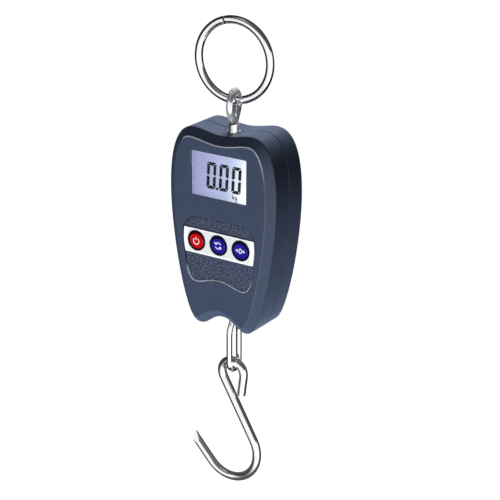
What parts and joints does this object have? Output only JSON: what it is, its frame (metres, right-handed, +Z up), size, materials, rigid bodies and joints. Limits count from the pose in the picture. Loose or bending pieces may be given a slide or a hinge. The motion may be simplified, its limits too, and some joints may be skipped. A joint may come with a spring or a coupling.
{
  "type": "digital hanging scale",
  "caption": "Hand-held digital fish scale: a hanging ring and eye bolt above a plastic housing with a display and keypad, and an S hook on a lower eye bolt.",
  "frame": {"origin": "the inside top of the hanging ring, midway through the ring's wire, where the scale hangs from a hand, hook or branch", "axes": "+X to the right of someone reading the display, +Y from the display to the back, +Z up"},
  "size_m": [0.0802, 0.0364, 0.3187],
  "materials": {
    "polished_steel": "polished and chrome plated",
    "aluminium": "milled",
    "housing_plastic": "fine spark-eroded grain",
    "plated_steel": "zinc or nickel plated",
    "silver_label": "printed film",
    "silver_panel": "satin silver film with blue-white edge",
    "clear_acrylic": "clear and polished",
    "display": "backlit liquid crystal",
    "white_plastic": "matt",
    "black_rubber": "matt",
    "red_insulation": "satin",
    "red_button": "gloss",
    "blue_button": "gloss",
    "circuit_board": "solder resist",
    "battery_jacket": "printed sleeve",
    "black_plastic": "moulded"
  },
  "bodies": {
    "ring": {"hanging_ring": "polished_steel"},
    "housing": {"battery_1": "battery_jacket", "battery_2": "battery_jacket", "battery_3": "battery_jacket", "battery_contact_1": "plated_steel", "battery_contact_2": "plated_steel", "battery_contact_3": "plated_steel", "battery_lead_negative": "black_rubber", "battery_lead_positive": "red_insulation", "battery_spring_1": "plated_steel", "battery_spring_2": "plated_steel", "battery_spring_3": "plated_steel", "board_screw_1": "plated_steel", "board_screw_2": "plated_steel", "board_screw_3": "plated_steel", "board_screw_4": "plated_steel", "bottom_eye_bolt": "polished_steel", "bottom_lock_nut": "plated_steel", "case_screw_1": "plated_steel", "case_screw_2": "plated_steel", "case_screw_3": "plated_steel", "case_screw_4": "plated_steel", "circuit_board": "circuit_board", "controller_chip": "black_plastic", "converter_chip": "black_plastic", "display_backlight": "white_plastic", "display_connector": "black_rubber", "display_glass": "display", "display_holder": "black_plastic", "display_lens": "clear_acrylic", "front_shell": "housing_plastic", "keypad_panel": "silver_panel", "load_cell": "aluminium", "load_cell_lead": "black_rubber", "mode_switch": "black_plastic", "power_switch": "black_plastic", "rating_label": "silver_label", "rear_shell": "housing_plastic", "strain_gauge_sealant": "white_plastic", "tare_switch": "black_plastic", "top_eye_bolt": "polished_steel", "top_lock_nut": "plated_steel"},
    "hook": {"hook": "polished_steel"},
    "battery_cover": {"battery_cover": "housing_plastic"},
    "power_button": {"power_button": "red_button", "power_switch_plunger": "black_plastic"},
    "mode_button": {"mode_button": "blue_button", "mode_switch_plunger": "black_plastic"},
    "tare_button": {"tare_button": "blue_button", "tare_switch_plunger": "black_plastic"}
  },
  "joints": [
    {"name": "housing_swing", "type": "hinge", "parent": "ring", "child": "housing", "pos_m": [0, 0, -0.04795], "axis": [0.9976, 0.0698, 0], "range_deg": [-125, 120]},
    {"name": "hook_swing", "type": "hinge", "parent": "housing", "child": "hook", "pos_m": [0, 0, -0.2307], "axis": [0, 1, 0], "range_deg": [-120, 115]},
    {"name": "power_button_press", "type": "slide", "parent": "housing", "child": "power_button", "axis": [0, 1, 0], "range_m": [0, 0.0005], "stiffness_N_per_m": 400, "springref_m": -0.0005},
    {"name": "mode_button_press", "type": "slide", "parent": "housing", "child": "mode_button", "axis": [0, 1, 0], "range_m": [0, 0.0005], "stiffness_N_per_m": 400, "springref_m": -0.0005},
    {"name": "tare_button_press", "type": "slide", "parent": "housing", "child": "tare_button", "axis": [0, 1, 0], "range_m": [0, 0.0005], "stiffness_N_per_m": 400, "springref_m": -0.0005},
    {"name": "battery_cover_removal", "type": "slide", "parent": "housing", "child": "battery_cover", "axis": [0, 1, 0], "range_m": [0, 0.03]}
  ]
}
